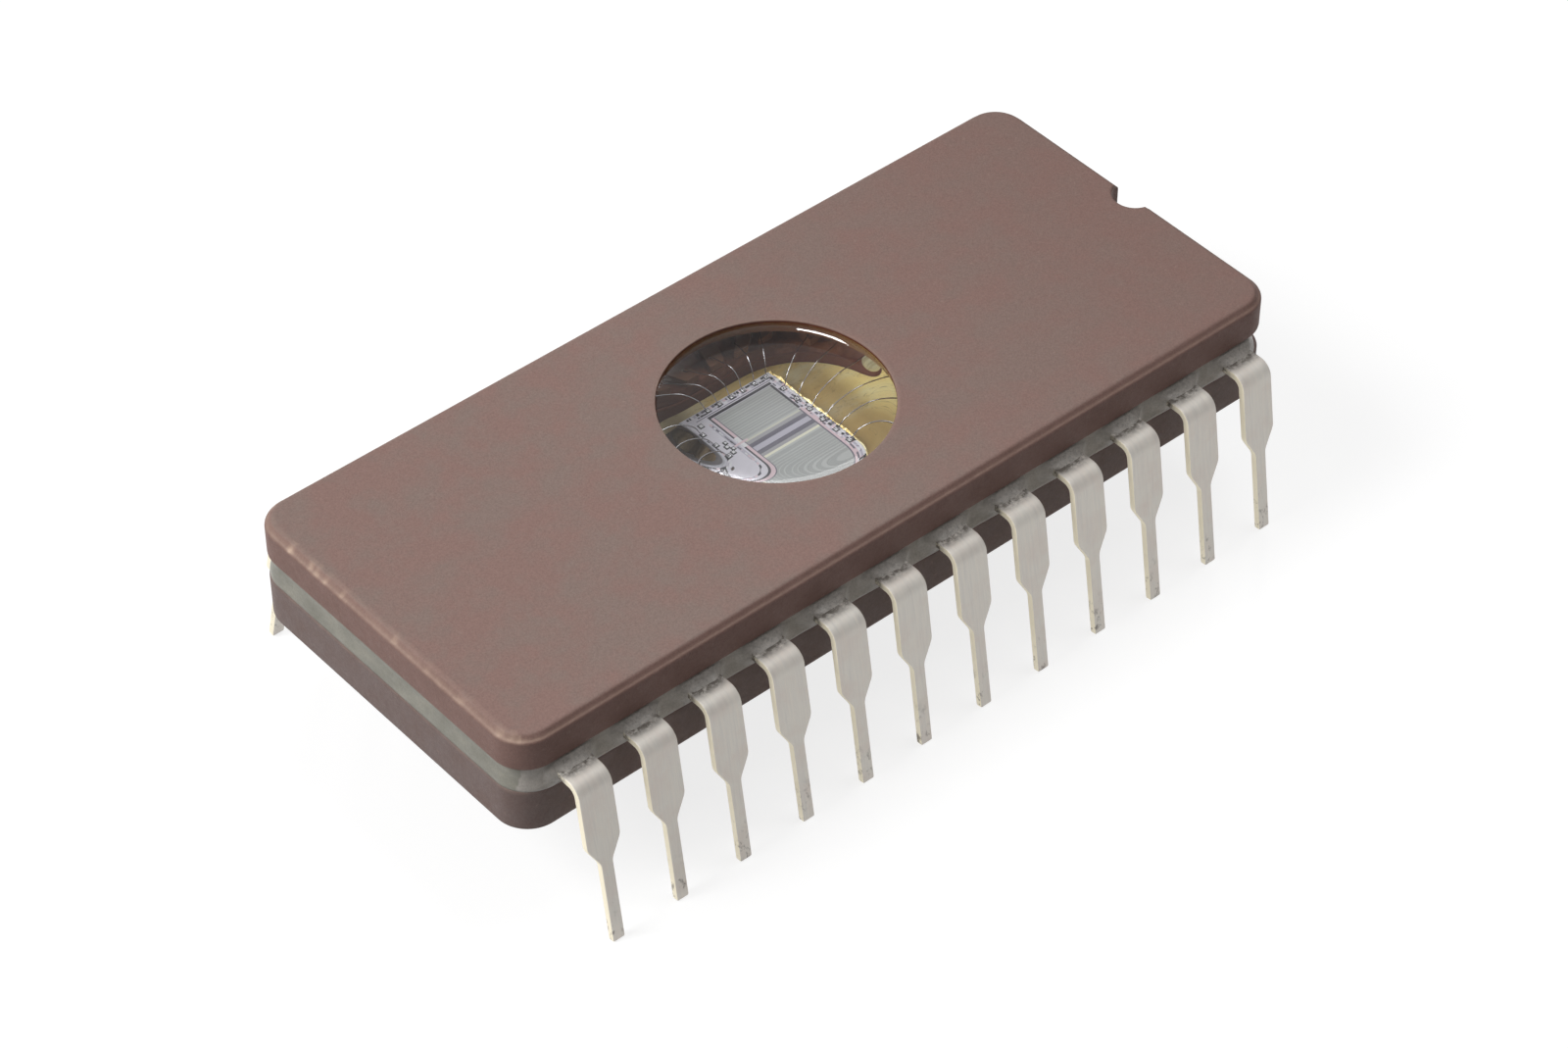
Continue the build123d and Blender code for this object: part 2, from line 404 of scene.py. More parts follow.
# The glass's outer face from below: level, inset between the leads and inset at a lead
seal_profile = (
    (base_top - 0.09, 0.03, 0.02), (base_top - 0.05, -0.015, -0.05), (base_top + 0.03, -0.02, -0.1),
    (base_top + 0.12, 0, -0.14), (base_top + 0.22, 0.03, -0.2), (base_top + 0.31, 0.055, -0.27),
    (lead_bottom, 0.075, -0.32), (lead_middle - 0.03, 0.09, -0.345), (lead_middle + 0.05, 0.1, -0.35),
    (lead_top, 0.11, -0.335), (lead_top + 0.03, 0.115, -0.27), (lead_top + 0.07, 0.12, -0.17),
    (lead_top + 0.12, 0.125, -0.08), (lead_top + 0.18, 0.13, 0), (lid_bottom, 0.14, 0.07),
    (lid_bottom + 0.012, 0.155, 0.12), (lid_bottom, 0.2, 0.18),
)


def make_seal():
    """Frit glass ring between the plates, drawn out round the root of each lead."""
    shell, rings = Shell(), []
    points, normals = rounded_box(half_length, half_width, corner_radius, spacing=0.07, corner_steps=26)
    for level, gap_inset, lead_inset in seal_profile:
        outer = smoothstep(base_top, base_top + 0.2, level)
        outer *= 1 - smoothstep(lid_bottom - 0.05, lid_bottom, level)
        row = []
        for (x, y), (nx, ny) in zip(points, normals):
            share = near_lead(x) if abs(ny) > 0.99 else 0.0
            inset = gap_inset + 0.05 * abs(nx) + 0.12 * smoothstep(0.1, 0.9, nx)
            inset += (lead_inset - inset) * share
            wave = 0.024 * ripple(x, y, level, 0.7, 3.0) + 0.01 * ripple(x, y, level, 2.2, 7.0)
            grit = 0.006 * ripple(x, y, level, 8.0, 1.0) * (0.3 + share)
            groove = 0.035 * abs(nx) * (1 - smoothstep(0.0, 0.1, abs(level - lead_middle)))
            inset += groove - (wave + grit) * outer
            if abs(nx) > 0.5:
                inset = max(inset, 0.015)
            row.append((x - nx * inset, y - ny * inset, level + 0.02 * outer * ripple(x, y, level, 1.7, 4.0)))
        # Mark 0.5 along the long sides, where the material paints the glass paler as painted light, rising to
        # 1 by the leads for their grit
        marks = [0.5 + 0.5 * near_lead(x) if abs(y) > half_width - 0.5 else 0.0 for x, y, _ in row]
        rings.append(shell.ring(row, marks))
    shell.skin(rings)
    inner = cavity_rings(shell, (
        (recess_margin, lid_bottom), (recess_margin, lead_bottom + 0.08),
        (recess_margin - 0.05, lead_bottom + 0.015), (recess_margin - 0.15, lead_bottom),
        (shelf_margin + 0.12, lead_bottom), (shelf_margin + 0.03, lead_bottom - 0.03),
        (shelf_margin, lead_bottom - 0.12), (shelf_margin - 0.02, base_top + 0.1),
        (shelf_margin - 0.05, base_top),
    ))
    shell.skin(inner)
    shell.fill(rings[-1], inner[0])
    shell.fill(rings[0], inner[-1])
    return shell


def make_lens():
    """Fused glass window, flat in the middle and rounding down to its rim."""
    shell = Shell()
    wall = window_radius + 0.004
    profile = [(wall, lens_bottom)]
    rim_width, rim_drop, steps = 0.9, 0.12, 16
    for step in range(steps + 1):
        share = 1 - step / steps
        profile.append((wall - rim_width * (1 - share), lid_top - rim_drop * share ** 3))
    return shell.solid([shell.ring(circle(radius, level)) for radius, level in profile])


# Leads

def lead_path(corner, splay_angle):
    """Middle line of a lead outside the body: places across the body, levels and headings."""
    turn = pi / 2 - splay_angle
    reach = bend_radius * tan(turn / 2)
    path = [(y, lead_middle, 0.0) for y, in straight((lead_root,), (corner - reach,), 0.1)]
    bend_steps = 18
    for step in range(bend_steps + 1):
        heading = turn * step / bend_steps
        drop = bend_radius * (1 - cos(heading))
        path.append((corner - reach + bend_radius * sin(heading), lead_middle - drop, heading))
    start_y, start_z, heading = path[-1]
    foot = half_thickness * sin(splay_angle)
    # The points lie closer together where the strip narrows
    above, below, foot_edge = shank_end + 0.2, pin_start - 0.2, foot + 0.06
    stretches = ((start_z, above, 0.35), (above, below, 0.06), (below, foot_edge, 0.3))
    levels = [z for high, low, spacing in stretches for z, in straight((high,), (low,), spacing)]
    levels = levels[1:] + [foot_edge, foot + 0.025, foot]
    return path + [(start_y + (start_z - z) * tan(splay_angle), z, heading) for z in levels]


def lead_half_width(level):
    """Half the width of the strip at a level, with the taper's corners eased."""
    levels = [level + shift for shift in (-0.1, -0.05, 0.0, 0.05, 0.1)]
    shares = [min(max((near - pin_start) / (shank_end - pin_start), 0.0), 1.0) for near in levels]
    return half_pin + (half_shank - half_pin) * sum(shares) / len(shares)


def strip_section(half_across, half_through, easing):
    """Points round a strip's section with eased corners, across and through it."""
    section = []
    flat = half_across - easing
    for side_u, side_v, start in corner_turns:
        section += arc((side_u * flat, side_v * (half_through - easing)), easing, start, start + 90, 3)
        if side_u == side_v:
            shares = (0.7, 0.35, 0.0, -0.35, -0.7)
            section += [(side_u * flat * share, side_v * half_through) for share in shares]
    return section


def finger_tip(number):
    """Tip of a lead's finger in the far row, and its elbow's place along X or None."""
    place = lead_place(number)
    corner = (leads_per_row - side_fingers) // 2
    if corner <= number < leads_per_row - corner:
        tip = ((leads_per_row - 1) / 2 - number) * side_finger_pitch
        return tip, cavity_half_y + finger_setback, None
    rank = corner - 1 - min(number, leads_per_row - 1 - number)
    towards = copysign(1, place)
    turn = radians((corner - 0.5 - rank) * end_finger_degrees)
    end_radius = cavity_half_y - cavity_end_flat / 2
    fan = end_radius + finger_setback
    tip = towards * (cavity_half_x - end_radius + fan * cos(turn))
    level = cavity_end_flat / 2 + fan * sin(turn)
    return tip, level, tip + towards * (end_finger_run + rank * end_finger_step)


def finger_outline(number):
    """Flat outline of a lead's finger in the far row."""
    place = lead_place(number)
    tip, level, elbow = finger_tip(number)
    clip = 0.06
    rows = []
    for side in (-1, 1):
        row = [(place + side * half_shank, lead_root), (place + side * half_knee, finger_knee)]
        if elbow is None:
            row += [(tip + side * half_tip, level + clip), (tip + side * (half_tip - clip), level)]
        else:
            edge = level - side * copysign(half_tip, place)
            row += [(elbow, edge), (tip, edge)]
        rows.append(row)
    return rows[0] + rows[1][::-1]


def make_lead(number, near_row):
    """One lead: its finger in the seal, the bend, the shank and the pin."""
    shell, rings = Shell(), []
    side = -1 if near_row else 1
    place = lead_place(number)
    tucked = not near_row and number == leads_per_row - 1
    splay_angle = radians(splay + (tucked_splay if tucked else random.uniform(-0.35, 0.1)))
    lean = tucked_lean if tucked else random.uniform(-0.035, 0.035)
    easing = 0.035
    path = lead_path(bend_corner - tucked_in * tucked, splay_angle)
    last = len(path) - 1
    for step, (y, z, heading) in enumerate(path):
        across, through = lead_half_width(z), half_thickness
        if step >= last - 1:
            trim = easing if step == last else 0.01
            across, through = across - trim, through - trim
        shift = lean * (lead_middle - z) / lead_middle
        row, marks = [], []
        for u, v in strip_section(across, through, easing):
            out, level = y + v * sin(heading), z + v * cos(heading)
            row.append((side * (place + shift + u), side * out, level))
            glass_edge = half_width + (seal_reach - half_width) * glass_share(abs(u))
            marks.append(1 - smoothstep(glass_edge + 0.08, glass_edge + 0.43, y))
        rings.append(shell.ring(row, marks))
    shell.solid(rings)
    flat = [(side * x, side * y) for x, y in finger_outline(number)]
    finger = [[(x, y, level) for x, y in flat] for level in (lead_bottom, lead_top)]
    return shell.solid([shell.ring(points, finger_mark) for points in finger])


# Die and bond wires

wire_nodes = [f"bond_wire_{number:02d}" for number in range(1, 2 * leads_per_row + 1)]


def wire_ends(node):
    """Middle of a bond wire's foot on the die and of its foot on the finger."""
    points = [vertex.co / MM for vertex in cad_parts[node].data.vertices]
    feet = []
    for level in (die_top, lead_top):
        foot = [point for point in points if abs(point.z - level) < 0.003]
        feet.append(sum(foot, Vector()) / len(foot))
    return feet


def smooth_path(knots, steps):
    """Points of a smooth curve through the knots."""
    path = []
    knots = [Vector(knot) for knot in (knots[0], *knots, knots[-1])]
    for before, one, two, after in zip(knots, knots[1:], knots[2:], knots[3:]):
        for step in range(steps):
            share = step / steps
            path.append(0.5 * (
                2 * one + (two - before) * share
                + (2 * before - 5 * one + 4 * two - after) * share ** 2
                + (3 * one - before - 3 * two + after) * share ** 3
            ))
    return path + knots[-1:]


def make_wire(node):
    """Fine round wire with a flattened foot at each end and a springy loop."""
    pad, landing = wire_ends(node)
    along = Vector((landing.x - pad.x, landing.y - pad.y, 0))
    span = along.length
    along.normalize()
    aside = Vector((-along.y, along.x, 0))
    radius = 0.018
    crown = lead_top + 0.2 + random.uniform(-0.02, 0.05)
    sway = random.uniform(-0.03, 0.03)
    path = smooth_path((
        (-0.06, die_top + 0.012), (0.03, die_top + 0.014), (0.1, die_top + 0.1),
        (span * 0.12 + 0.05, lead_top - 0.04), (span * 0.38, crown), (span * 0.68, crown - 0.06),
        (span - 0.16, lead_top + 0.09), (span - 0.04, lead_top + 0.018), (span + 0.06, lead_top + 0.012),
    ), 6)
    shell, rings = Shell(), []
    last = len(path) - 1
    for step, (place, level) in enumerate(path):
        ahead = path[min(step + 1, last)] - path[max(step - 1, 0)]
        ahead.normalize()
        flat = 1 - smoothstep(4, 9, min(step, last - step))
        wide, thick = radius * (1 + 0.8 * flat), radius * (1 - 0.4 * flat)
        if step in (0, last):
            wide, thick = wide * 0.5, thick * 0.5
        centre = pad + along * place + aside * sway * sin(pi * min(max(place / span, 0), 1))
        centre.z = level
        upward = Vector((-along.x * ahead.y, -along.y * ahead.y, ahead.x))
        section = [(wide * across, thick * up) for across, up, _ in circle(1, 0, steps=10)]
        rings.append(shell.ring([centre + aside * across + upward * up for across, up in section]))
    return shell.solid(rings)


def make_die():
    """Sawn silicon die with a crisp edge."""
    shell = Shell()
    edge = 0.02
    profile = ((0, die_low.z), (0, die_top - edge), (edge, die_top))
    outline = rounded_box(die_high.x, die_high.y, radius=0.04, spacing=0.4, corner_steps=4)
    return shell.solid([shell.ring(drawn_in(*outline, inset, level)) for inset, level in profile])


def make_die_bond():
    """Uneven bead of gold squeezed up round the die's foot."""
    shell, rings = Shell(), []
    points, normals = rounded_box(die_high.x, die_high.y, radius=0.06, spacing=0.05, corner_steps=6)
    bottom = gold_top - 0.01
    # Reach from the die, level and roughness, from the die's side outwards
    profile = (
        (-0.03, bottom, 0), (-0.03, die_top - 0.1, 0), (0.02, die_top - 0.04, 0.6),
        (0.08, die_top - 0.03, 1.0), (0.14, die_top - 0.09, 1.0), (0.21, gold_top + 0.1, 0.8),
        (0.28, bottom, 0.6),
    )
    for reach, level, rough in profile:
        row = []
        for (x, y), (nx, ny) in zip(points, normals):
            lump = rough * (ripple(x, y, 0, 2.2, 11.0) + 0.6 * ripple(x, y, 0, 7.0, 3.0))
            # Highest along the notch end of the die, low elsewhere
            rise = 0.05 * lump + rough * (0.05 - 0.2 * (1 - smoothstep(0.0, 1.0, nx)))
            out = reach + 0.05 * lump
            row.append((x + nx * out, y + ny * out, max(level + rise, bottom)))
        rings.append(shell.ring(row))
    shell.skin(rings + rings[:1])
    return shell


def make_glass_drop():
    """Smooth drop of frit glass on the cavity's end wall."""
    shell, rings = Shell(), []
    wall, middle_y, middle_z = cavity_half_x + 0.2, 0.5, base_top + 0.16
    reach_x, reach_y, reach_z = 0.5, 0.9, 0.33
    for angle in range(0, 90, 10):
        turn = radians(angle)
        half_y, half_z = reach_y * cos(turn), reach_z * cos(turn)
        row = circle(1, wall - reach_x * sin(turn), steps=28)
        rings.append(shell.ring([(x, middle_y + half_y * y, middle_z + half_z * z) for y, z, x in row]))
    return shell.solid(rings)


class Artwork(Shell):
    """Thin etched blocks lying on the die, six faces each, with a tone for every face."""

    def block(self, low_x, low_y, high_x, high_y, tone, height):
        """A flat block from one corner to the other, up to a height over the die."""
        corners = ((low_x, low_y), (high_x, low_y), (high_x, high_y), (low_x, high_y))
        bottom = self.ring([(x, y, die_top - 0.003) for x, y in corners])
        top = self.ring([(x, y, die_top + height) for x, y in corners])
        self.bridge(bottom, top)
        self.faces += [tuple(bottom[::-1]), tuple(top)]
        self.tones += [colour(tone)] * 6


# Tones of the etched layers
grey_field = (178, 181, 180)
grey_line = (198, 201, 200)
mid_band = (174, 173, 178)
lilac_band = (200, 197, 212)
dark_band = (112, 108, 123)
frame_line = (54, 50, 62)
pale_line = (218, 218, 204)
cream_line = (246, 244, 222)
edge_field = (236, 233, 244)
pink_band = (236, 210, 218)
black_block = (20, 18, 26)
white_block = (246, 246, 250)

array_left, array_right = -1.0, 1.45
array_top, array_bottom = 2.02, -2.2


def lay_array(art):
    """The two halves of the array with their fine lines, and the long bands between them."""
    line_pitch = 0.11
    bands = (
        (0.6, 0.53, grey_line), (0.53, 0.45, pale_line), (0.45, 0.3, mid_band), (0.3, 0.12, dark_band),
        (0.12, -0.1, lilac_band), (-0.1, -0.28, dark_band), (-0.28, -0.42, mid_band),
        (-0.42, -0.52, cream_line), (-0.52, -0.6, grey_line),
    )
    left, right = array_left + 0.1, array_right
    art.block(left, 0.6, right, array_top, grey_field, 0.005)
    art.block(left, array_bottom, right, -0.6, grey_field, 0.005)
    for high, low, tone in bands:
        art.block(left, low, right, high, tone, 0.006)
    dice = random.Random(3)
    for start, end in ((0.7, array_top - 0.05), (array_bottom + 0.05, -0.7)):
        for row in range(round((end - start) / line_pitch)):
            low = start + row * line_pitch + dice.uniform(0, 0.03)
            art.block(left, low, right, low + dice.uniform(0.02, 0.05), grey_line, 0.0065)


def lay_frames(art):
    """Decoder columns and the dark frame lines round the array."""
    left, right, top, bottom = array_left, array_right, array_top, array_bottom
    blocks = (
        (left - 0.1, bottom, left - 0.04, top + 0.06, frame_line, 0.008),
        (left - 0.04, bottom, left + 0.07, top, pink_band, 0.0085),
        (left + 0.07, bottom, left + 0.1, top, dark_band, 0.0085),
        (left - 0.3, -0.3, left - 0.16, top - 0.2, lilac_band, 0.008),
        (right, 0.6, right + 0.09, top, frame_line, 0.0085),
        (right + 0.03, bottom + 0.1, right + 0.21, 0.56, pink_band, 0.0085),
        (right - 0.02, bottom + 0.1, right + 0.03, 0.56, dark_band, 0.009),
        (left - 0.1, top + 0.03, right + 0.12, top + 0.14, frame_line, 0.008),
        (left - 0.5, top + 0.19, right + 0.2, top + 0.22, dark_band, 0.008),
        # Bright crossing where the centre strip meets the left column
        (left - 0.1, 0.3, left + 0.06, 0.84, white_block, 0.009),
        (left - 0.3, 0.5, left + 0.24, 0.58, pink_band, 0.0095),
    )
    for block in blocks:
        art.block(*block)


def lay_cells(art):
    """Rows of small cells of the peripheral circuits along each edge."""
    # Start and end of a row, its place and depth, whether it runs along X, and its tones
    dice = random.Random(7)
    mixed = (black_block, black_block, white_block, white_block, lilac_band, dark_band, pink_band)
    quiet = (dark_band, lilac_band, pink_band, edge_field, frame_line, white_block)
    rows = (
        (-1.7, 1.8, 2.46, 0.13, True, mixed), (-1.5, 1.75, 2.33, 0.09, True, quiet),
        (-2.5, 2.3, 1.84, 0.13, False, mixed), (-2.4, 2.2, 1.73, 0.11, False, mixed),
        (-2.4, 1.9, 1.6, 0.09, False, quiet), (-2.5, 2.1, -1.8, 0.06, False, quiet),
        (-1.9, 1.9, -1.24, 0.07, False, quiet), (-1.2, 1.6, -2.46, 0.12, True, mixed),
    )
    for here, end, place, depth, along_x, tones in rows:
        while here < end:
            size = dice.uniform(0.04, 0.15)
            low = place - dice.uniform(0.5, 1) * depth / 2
            high = place + dice.uniform(0.5, 1) * depth / 2
            corners = (here, low, here + size, high) if along_x else (low, here, high, here + size)
            art.block(*corners, dice.choice(tones), 0.009)
            here += size + dice.uniform(0.005, 0.04)


def lay_pads(art):
    """Bond pads under the wires, and the test pads beside the array."""
    pads = [(*wire_ends(node)[0].xy, 0.08) for node in wire_nodes]
    pads += [(-1.5, 1.98, 0.08), (-1.42, 0.86, 0.06), (-1.5, 0.68, 0.07)]
    pads += [(-1.38, 0.5, 0.06), (-1.5, 0.36, 0.07)]
    for x, y, half in pads:
        art.block(x - half - 0.03, y - half - 0.03, x + half, y + half + 0.02, black_block, 0.0095)
        art.block(x - half + 0.02, y - half + 0.02, x + half - 0.02, y + half - 0.01, white_block, 0.011)


def make_circuit():
    """Etched top of the die."""
    art = Artwork()
    half_x, half_y = die_high.x - 0.03, die_high.y - 0.03
    art.block(-half_x, -half_y, half_x, half_y, edge_field, 0.003)
    lay_array(art)
    lay_frames(art)
    lay_cells(art)
    lay_pads(art)
    return art


# Materials

class Shader:
    """One node material built round a Principled shader. Texture scales are per millimetre."""

    def __init__(self, name, **settings):
        self.material = bpy.data.materials.new(name)
        self.material.use_nodes = True
        self.tree = self.material.node_tree
        self.surface = self.tree.nodes["Principled BSDF"]
        self.place = self.add("TexCoord").outputs["Object"]
        for socket, value in settings.items():
            self.set(socket.replace("_", " "), value)

    def add(self, kind, values=None, **settings):
        """Adds a shader node of a kind, with settings and input values or links."""
        node = self.tree.nodes.new("ShaderNode" + kind)
        for key, value in settings.items():
            setattr(node, key, value)
        for key, value in (values or {}).items():
            self.join(node.inputs[key], value)
        return node

    def join(self, socket, value):
        """Links a socket to another, or sets its value."""
        if isinstance(value, bpy.types.NodeSocket):
            self.tree.links.new(value, socket)
        else:
            socket.default_value = value

    def set(self, name, value):
        """Sets or links an input of the surface shader."""
        self.join(self.surface.inputs[name], value)

    def blend(self, share, one, two):
        """A node that mixes the shaders of two nodes."""
        return self.add("MixShader", {0: share, 1: one.outputs[0], 2: two.outputs[0]})

    def show(self, node):
        """Makes a node's shader the material's own."""
        output = next(node for node in self.tree.nodes if node.type == "OUTPUT_MATERIAL")
        self.join(output.inputs["Surface"], node.outputs[0])

    def noise(self, per_mm, detail=3, rough=0.6, stretch=(1, 1, 1), seed=0.0):
        """Noise of a scale, stretched along the axes."""
        scale = tuple(per_mm / MM * factor for factor in stretch)
        values = {"Vector": self.place, "Scale": scale, "Location": (seed, -seed, seed)}
        mapped = self.add("Mapping", values).outputs[0]
        values = {"Vector": mapped, "Scale": 1.0, "Detail": detail, "Roughness": rough}
        return self.add("TexNoise", values).outputs["Fac"]

    def ramp(self, value, *stops):
        """Colours or greys at places along a value."""
        node = self.add("ValToRGB", {"Fac": value})
        elements = node.color_ramp.elements
        while len(elements) < len(stops):
            elements.new(0.5)
        for element, (position, shade) in zip(elements, stops):
            element.position = position
            element.color = colour(shade)
        return node.outputs["Color"]

    def paint(self, value):
        """Sets or links the surface's colour."""
        self.set("Base Color", value)

    def roughness(self, value, low, high):
        """Roughness from one figure to another as a value rises."""
        self.set("Roughness", self.ramp(value, (0.3, low), (0.7, high)))

    def mix(self, share, one, two):
        """Mixes two colours."""
        values = {0: share, 6: colour(one), 7: colour(two)}
        return self.add("Mix", values, data_type="RGBA").outputs[2]

    def math(self, operation, one, two):
        """A sum on two values, kept between 0 and 1."""
        return self.add("Math", {0: one, 1: two}, operation=operation, use_clamp=True).outputs[0]

    def times(self, one, two):
        """The product of two values."""
        return self.math("MULTIPLY", one, two)

    def span(self, value, low, high):
        """A value as 0 to 1 between two figures."""
        return self.add("MapRange", {0: value, 1: low, 2: high}).outputs[0]

    def mark(self, low, high):
        """The mesh's mark, as 0 to 1 between two of its values."""
        return self.span(self.add("Attribute", attribute_name="mark").outputs["Fac"], low, high)

    def along(self, axis, low, high):
        """The place along an axis, as 0 to 1 between two places in millimetres."""
        place = self.add("SeparateXYZ", {0: self.place}).outputs[axis]
        return self.span(place, low * MM, high * MM)

    def facing(self, axis, low, high):
        """How far the surface faces along an axis, as 0 to 1 between two figures."""
        normal = self.add("NewGeometry").outputs["Normal"]
        return self.span(self.add("SeparateXYZ", {0: normal}).outputs[axis], low, high)

    def bump(self, height, depth):
        """Fine relief on the surface, its depth in millimetres."""
        node = self.add("Bump", {"Height": height, "Distance": depth * MM})
        self.set("Normal", node.outputs["Normal"])


def ceramic(name, top_grey, top_red, side, wear_and_highlight):
    """Pressed ceramic: mottled, darker and redder towards the notch, paler where it is rubbed and chipped,
    with a painted highlight along the rims and painted shade in the cavity, recess and window bore.
    """
    look = Shader(name, Specular_IOR_Level=0.3)
    patches = look.noise(0.9, 4, 0.6, seed=3)
    mottle = look.math("ADD", look.times(look.noise(0.3, 4, 0.6), 0.5), look.times(patches, 0.5))
    top = look.ramp(mottle, (0.42, top_grey), (0.58, top_red))
    top = look.mix(look.times(look.along("X", -2, 16), 0.55), top, (128, 98, 90))
    side = look.mix(look.ramp(patches, (0.4, 0.0), (0.65, 0.35)), side, (116, 88, 78))
    body = look.mix(look.facing("Z", 0.7, 0.97), side, top)
    grain = look.ramp(look.noise(13, 3, 0.65), (0.35, 0.0), (0.75, 0.28))
    body = look.mix(grain, body, (84, 62, 56))
    fleck = look.ramp(look.noise(5, seed=9), (0.64, 0.0), (0.76, 0.35))
    body = look.mix(fleck, body, (168, 142, 132))
    breakup = look.ramp(look.noise(2.4, 4, 0.7), (0.36, 0.55), (0.6, 1.0))
    # Wear and painted highlight: the rims are painted paler, partly for rubbing and chips and partly as a
    # highlight along the edge
    body = look.mix(look.times(look.mark(0.0, 1.0), breakup), body, wear_and_highlight)
    # Painted shade: the cavity walls, the recess over it and the window bore are painted dark brown
    in_cavity = look.mark(0.0, cavity_mark)
    look.paint(look.mix(in_cavity, body, (106, 58, 40)))
    rough = look.ramp(look.noise(6), (0.3, 0.5), (0.7, 0.66))
    in_bore = look.mark(cavity_mark, bore_mark)
    look.set("Roughness", look.mix(in_bore, look.mix(in_cavity, rough, 0.9), 0.12))
    look.bump(look.math("ADD", look.noise(20, 3, 0.7), look.times(look.noise(4, 2, 0.5), 0.5)), 0.014)
    return look


def frit_glass():
    """Frit glass: grey-green and cloudy at the ends, paler and greyer along the long sides as painted light,
    gritty by the leads, and dark brown in the cavity as painted shade.
    """
    look = Shader("seal_glass", Specular_IOR_Level=0.6)
    cloud = look.noise(0.9, 4, 0.6, stretch=(1, 1, 2))
    ends = look.ramp(cloud, (0.3, (126, 124, 112)), (0.5, (142, 140, 129)), (0.72, (158, 154, 141)))
    sides = look.ramp(cloud, (0.3, (164, 158, 150)), (0.5, (180, 173, 166)), (0.72, (194, 188, 180)))
    # Painted light: the long sides are painted paler than the ends
    body = look.mix(look.mark(0.0, 0.5), ends, sides)
    speckle = look.ramp(look.noise(15, 3, 0.7, seed=2), (0.38, 0.0), (0.68, 0.4))
    body = look.mix(speckle, body, (124, 120, 112))
    grit = look.ramp(look.noise(9, 4, 0.7), (0.45, 0.0), (0.7, 0.6))
    body = look.mix(look.times(grit, look.mark(0.5, 1.0)), body, (104, 101, 94))
    # Painted shade: the glass inside the cavity is painted dark brown
    shade = look.ramp(look.noise(1.6, seed=5), (0.35, (100, 54, 38)), (0.65, (136, 84, 58)))
    in_cavity = look.mark(0.0, cavity_mark)
    look.paint(look.mix(in_cavity, body, shade))
    rough = look.ramp(look.noise(3, 3, 0.5), (0.3, 0.32), (0.7, 0.5))
    look.set("Roughness", look.mix(in_cavity, rough, 0.9))
    look.bump(look.math("ADD", look.noise(3), look.times(look.noise(18), 0.3)), 0.022)
    return look


def tinned_metal():
    """Tin dipped strip: faintly brushed, creamier on its cut sides, gritty with glass at the root, with a
    painted shadow line at the glass's edge and painted shade on the fingers inside the body.
    """
    look = Shader("lead_metal", Specular_IOR_Level=0.5)
    streaks = look.noise(1.2, 4, 0.6, stretch=(7, 1, 0.5))
    face = look.ramp(streaks, (0.3, (215, 211, 205)), (0.5, (224, 220, 213)), (0.72, (231, 226, 218)))
    blotch = look.ramp(look.noise(1.3, seed=6), (0.42, 0.0), (0.75, 0.5))
    face = look.mix(blotch, face, (219, 207, 199))
    cut = look.math("ADD", look.facing("X", -0.6, -0.9), look.facing("X", 0.6, 0.9))
    body = look.mix(cut, face, (255, 248, 228))
    specks = look.ramp(look.noise(3.4, 4, 0.75, stretch=(1, 1, 0.6), seed=2), (0.54, 0.0), (0.66, 0.8))
    body = look.mix(look.times(look.along("Z", 1.9, 0.0), specks), body, (78, 68, 62))
    broken = look.ramp(look.noise(5, 4, 0.75, seed=4), (0.3, 0.0), (0.55, 1.0))
    smeared = look.times(look.mark(0.0, 0.9), broken)
    grit = look.ramp(look.noise(9, seed=7), (0.35, (98, 92, 86)), (0.65, (140, 134, 127)))
    # Painted shadow: a darker line along the edge of the glass on the lead
    line = look.times(look.mark(0.9, 0.99), look.ramp(broken, (0.0, 0.55), (1.0, 0.95)))
    grit = look.mix(line, grit, (108, 102, 95))
    # Painted shade: the fingers inside the body are painted brown and not metallic
    painted_shade_fingers = look.mark(1.2, finger_mark)
    look.paint(look.mix(painted_shade_fingers, look.mix(smeared, body, grit), (132, 88, 62)))
    look.set("Metallic", look.math("SUBTRACT", look.math("SUBTRACT", 0.8, smeared), painted_shade_fingers))
    look.roughness(streaks, 0.64, 0.74)
    look.bump(look.noise(2.2, stretch=(9, 1, 0.6), seed=1), 0.004)
    return look


def window_glass():
    """Clear lens that lets the lamps' light through to the die."""
    look = Shader("window_glass", Transmission_Weight=1.0, IOR=1.48, Roughness=0.0)
    look.paint(look.ramp(look.noise(0.5, 2, 0.5), (0.3, (0.97, 0.985, 0.975, 1)), (0.7, 1.0)))
    light = look.add("LightPath").outputs
    mirrored = look.math("SUBTRACT", light["Is Glossy Ray"], light["Is Transmission Ray"])
    scattered = look.math("MAXIMUM", light["Is Diffuse Ray"], mirrored)
    passing = look.math("MAXIMUM", light["Is Shadow Ray"], scattered)
    look.show(look.blend(passing, look.surface, look.add("BsdfTransparent")))
    return look


def clouded(name, noise, dark, pale, low_rough, high_rough, **settings):
    """Plain material whose colour and roughness follow one noise."""
    look = Shader(name, **settings)
    cloud = look.noise(*noise)
    look.paint(look.ramp(cloud, (0.35, dark), (0.65, pale)))
    look.roughness(cloud, low_rough, high_rough)
    return look


